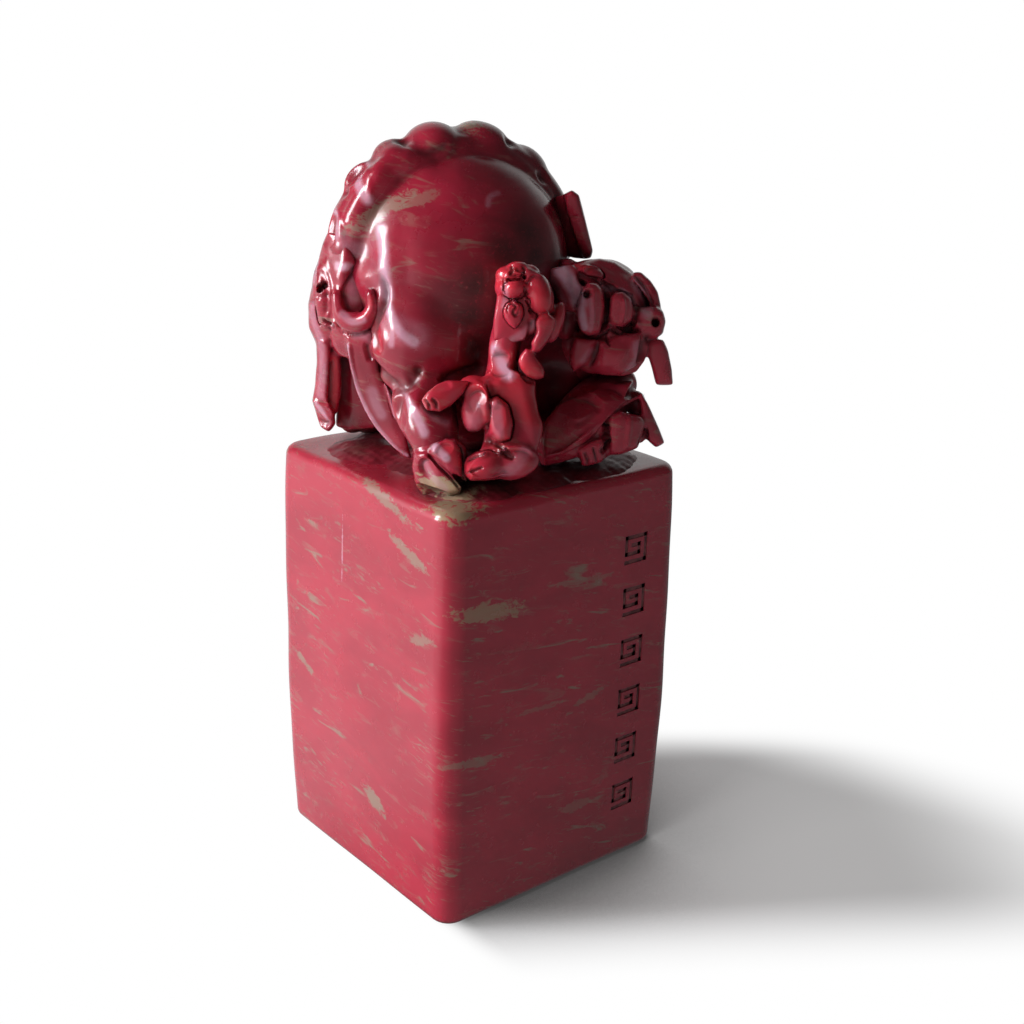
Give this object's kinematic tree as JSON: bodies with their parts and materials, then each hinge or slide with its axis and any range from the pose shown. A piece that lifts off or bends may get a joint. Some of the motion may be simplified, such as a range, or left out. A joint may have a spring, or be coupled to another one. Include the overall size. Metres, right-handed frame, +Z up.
{
  "type": "seal stamp",
  "caption": "Square carved stone seal with an engraved printing face and a knob carved as a crouching lion looking back at her cub.",
  "frame": {"origin": "centre of the bounding box's base, which is the middle of the printing face", "axes": "+Z up from the printing face to the knob, the side with the incised column facing -Y, the rump of the lion facing -X"},
  "size_m": [0.0416, 0.0416, 0.1082],
  "materials": {
    "red_stone": "polished stone with streaks",
    "bright_stone": "polished stone, brighter red",
    "dark_stone": "unpolished stone in the undercuts"
  },
  "bodies": {
    "root": {"seal_shaft": "red_stone", "carved_ground": "dark_stone", "lion_body": "red_stone", "lion_shoulder": "red_stone", "spine_crest": "red_stone", "right_haunch": "red_stone", "left_haunch": "red_stone", "right_hind_paw": "red_stone", "right_hind_leg": "red_stone", "left_hind_paw": "red_stone", "left_hind_leg": "red_stone", "right_foreleg": "red_stone", "right_fore_paw": "red_stone", "left_foreleg": "red_stone", "left_fore_paw": "red_stone", "tail_stem": "red_stone", "right_tail_curl": "red_stone", "left_tail_curl": "red_stone", "middle_tail_strand": "red_stone", "right_tail_strand": "red_stone", "left_tail_strand": "red_stone", "lion_skull": "red_stone", "lion_nose": "red_stone", "lion_brow": "red_stone", "left_eye": "red_stone", "left_cheek": "red_stone", "lion_jaw": "red_stone", "left_ear": "red_stone", "mane_ring_curl": "red_stone", "mane_lock_1": "red_stone", "mane_lock_2": "red_stone", "mane_lock_3": "red_stone", "mane_lock_4": "red_stone", "mane_lock_5": "red_stone", "mane_lock_6": "red_stone", "chin_tuft": "red_stone", "cub_body": "bright_stone", "cub_thigh": "bright_stone", "cub_hind_foot": "bright_stone", "cub_arm": "bright_stone", "cub_fore_paw": "bright_stone", "cub_neck": "bright_stone", "cub_head": "bright_stone", "cub_ear": "bright_stone", "cub_snout": "bright_stone", "cub_jaw": "bright_stone"}
  },
  "joints": []
}
